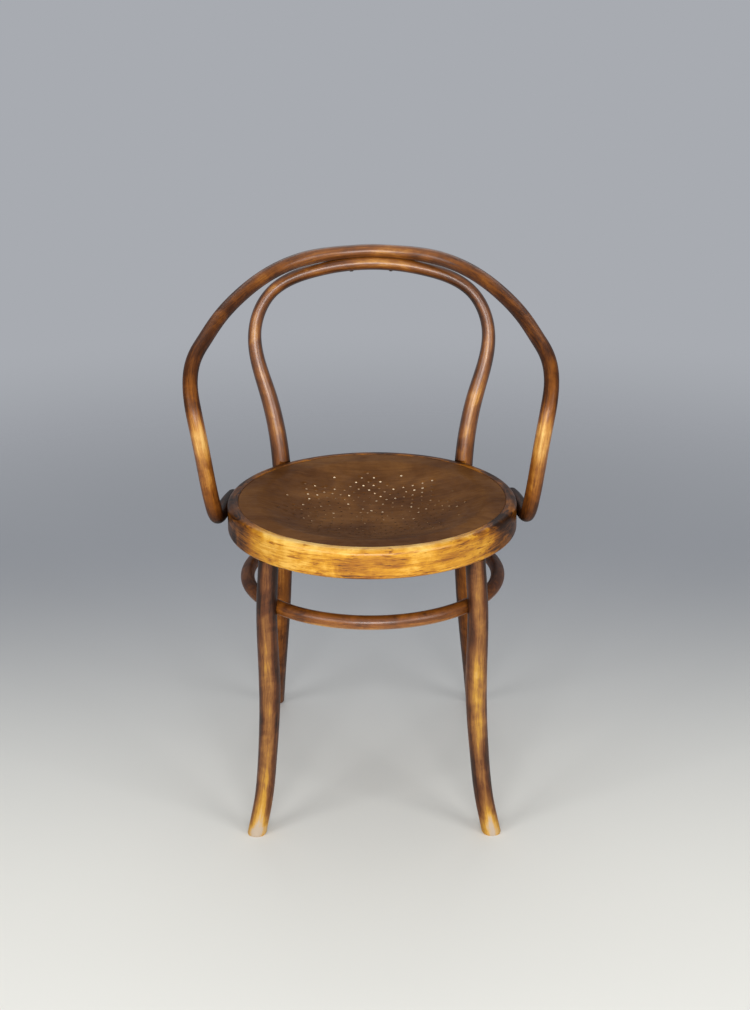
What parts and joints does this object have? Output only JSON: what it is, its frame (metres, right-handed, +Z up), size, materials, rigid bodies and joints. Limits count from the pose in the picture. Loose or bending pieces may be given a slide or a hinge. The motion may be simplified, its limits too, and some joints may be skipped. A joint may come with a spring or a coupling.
{
  "type": "bentwood desk armchair",
  "caption": "Bentwood desk armchair with a round seat of punched plywood in a bent ring, a hoop back, and a bent rail that forms the top of the back and the arms.",
  "frame": {"origin": "on the floor, under the middle of the whole chair", "axes": "+Z up, +Y to the back of the chair, +X to the right as seen from the front"},
  "size_m": [0.5288, 0.5094, 0.7903],
  "materials": {
    "bent_wood": "shellac on bent beech, worn to amber",
    "leg_wood": "worn shellac on beech, streaky",
    "ring_wood": "shellac on bent beech, dark streaks",
    "panel_wood": "dark stained plywood, satin",
    "screw_steel": "dull aged steel"
  },
  "bodies": {
    "root": {"seat_ring": "ring_wood", "seat_panel": "panel_wood", "rear_frame": "bent_wood", "arm_bow": "bent_wood", "leg_ring": "bent_wood", "front_leg_left": "leg_wood", "front_leg_right": "leg_wood", "back_screws": "screw_steel", "front_leg_ring_screws": "screw_steel", "rear_leg_ring_screws": "screw_steel", "rear_bolt_left": "screw_steel", "rear_bolt_right": "screw_steel", "rear_washer_left": "screw_steel", "rear_washer_right": "screw_steel", "rear_nut_left": "screw_steel", "rear_nut_right": "screw_steel", "arm_end_screws_left": "screw_steel", "arm_end_screws_right": "screw_steel", "tenon_screw_left": "screw_steel", "tenon_screw_right": "screw_steel"}
  },
  "joints": []
}
